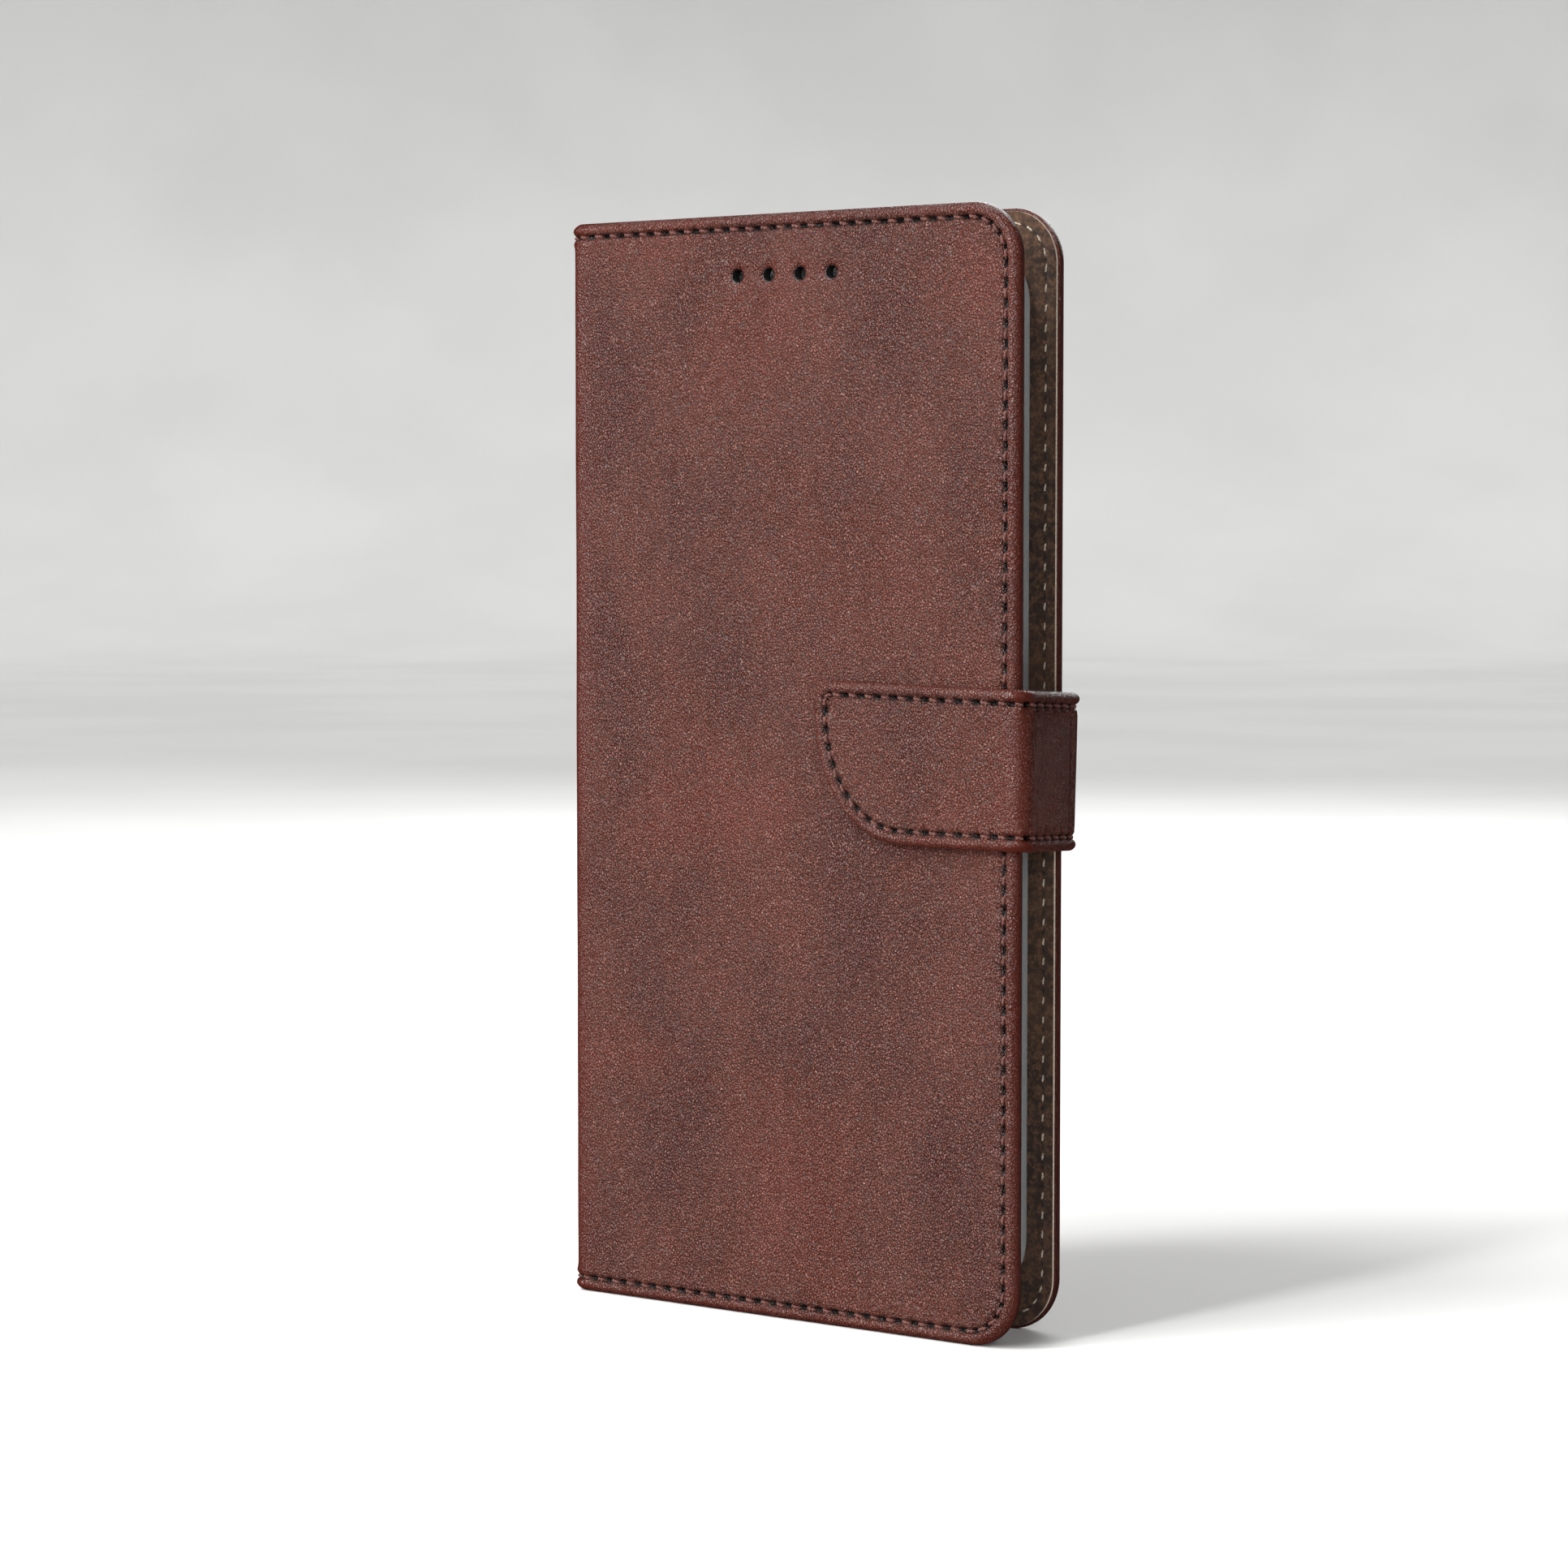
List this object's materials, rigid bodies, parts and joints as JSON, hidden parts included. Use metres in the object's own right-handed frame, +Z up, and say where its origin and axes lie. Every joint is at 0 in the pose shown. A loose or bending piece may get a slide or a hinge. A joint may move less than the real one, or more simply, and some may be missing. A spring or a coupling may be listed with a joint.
{
  "type": "phone wallet case",
  "caption": "Upright book-style phone wallet case in stitched calf-grain leather, with a clear phone shell, card pockets, an earpiece hole row and a wrap-round magnetic strap.",
  "frame": {"origin": "middle of the bottom of the closed case: the case stands on the bottom edges of its covers", "axes": "+Z up along the height, +X from the spine towards the opening edge and the strap, -Y out of the front cover"},
  "size_m": [0.0824, 0.0198, 0.16],
  "materials": {
    "leather": "satin calf grain, mottled",
    "strap_back": "smooth dark backing leather",
    "suede_lining": "brushed microsuede, mottled",
    "stiffener_board": "grey-brown board",
    "seam_thread": "waxed twisted thread",
    "lining_thread": "cream twisted thread",
    "magnet_steel": "nickel-plated",
    "clear_shell": "clear soft plastic, glossy",
    "adhesive": "foam tape"
  },
  "bodies": {
    "back_cover": {"back_outer_leather": "leather", "back_board": "stiffener_board", "back_lining": "suede_lining", "back_seam_thread": "seam_thread", "back_lining_thread": "lining_thread", "phone_shell": "clear_shell", "shell_adhesive_lower": "adhesive", "shell_adhesive_upper": "adhesive", "strap_root_leather": "leather", "strap_root_lining": "strap_back", "strap_root_thread": "seam_thread"},
    "spine": {"spine_outer_leather": "leather", "spine_stiffener": "stiffener_board", "spine_lining": "suede_lining", "spine_thread_lower": "seam_thread", "spine_thread_upper": "seam_thread"},
    "front_cover": {"front_outer_leather": "leather", "front_board": "stiffener_board", "front_keeper_plate": "magnet_steel", "front_lining": "suede_lining", "front_seam_thread": "seam_thread", "front_lining_thread": "lining_thread", "cash_pocket_panel": "suede_lining", "card_pocket_1": "suede_lining", "card_pocket_2": "suede_lining", "card_pocket_3": "suede_lining", "card_pocket_thread": "lining_thread"},
    "strap_side": {"strap_side_leather": "leather", "strap_side_lining": "strap_back", "strap_side_thread_lower": "seam_thread", "strap_side_thread_upper": "seam_thread"},
    "strap_flap": {"strap_flap_leather": "leather", "strap_flap_lining": "strap_back", "strap_flap_magnet": "magnet_steel", "strap_flap_thread": "seam_thread"},
    "volume_button": {"volume_button_cover": "clear_shell"},
    "power_button": {"power_button_cover": "clear_shell"}
  },
  "joints": [
    {"name": "spine_fold", "type": "hinge", "parent": "back_cover", "child": "spine", "pos_m": [-0.04007, 0.007, 0.08], "axis": [0, 0, -1], "range_deg": [0, 180]},
    {"name": "cover_fold", "type": "hinge", "parent": "spine", "child": "front_cover", "pos_m": [-0.04007, -0.007, 0.08], "axis": [0, 0, -1], "range_deg": [0, 180]},
    {"name": "strap_root_fold", "type": "hinge", "parent": "back_cover", "child": "strap_side", "pos_m": [0.03737, 0.00915, 0.0805], "axis": [0, 0, 1], "range_deg": [0, 150]},
    {"name": "strap_tip_fold", "type": "hinge", "parent": "strap_side", "child": "strap_flap", "pos_m": [0.04038, -0.00915, 0.081], "axis": [0, 0, 1], "range_deg": [0, 120]},
    {"name": "volume_press", "type": "slide", "parent": "back_cover", "child": "volume_button", "axis": [-1, 0, 0], "range_m": [0, 0.0004], "stiffness_N_per_m": 4000},
    {"name": "power_press", "type": "slide", "parent": "back_cover", "child": "power_button", "axis": [-1, 0, 0], "range_m": [0, 0.0004], "stiffness_N_per_m": 4000}
  ]
}
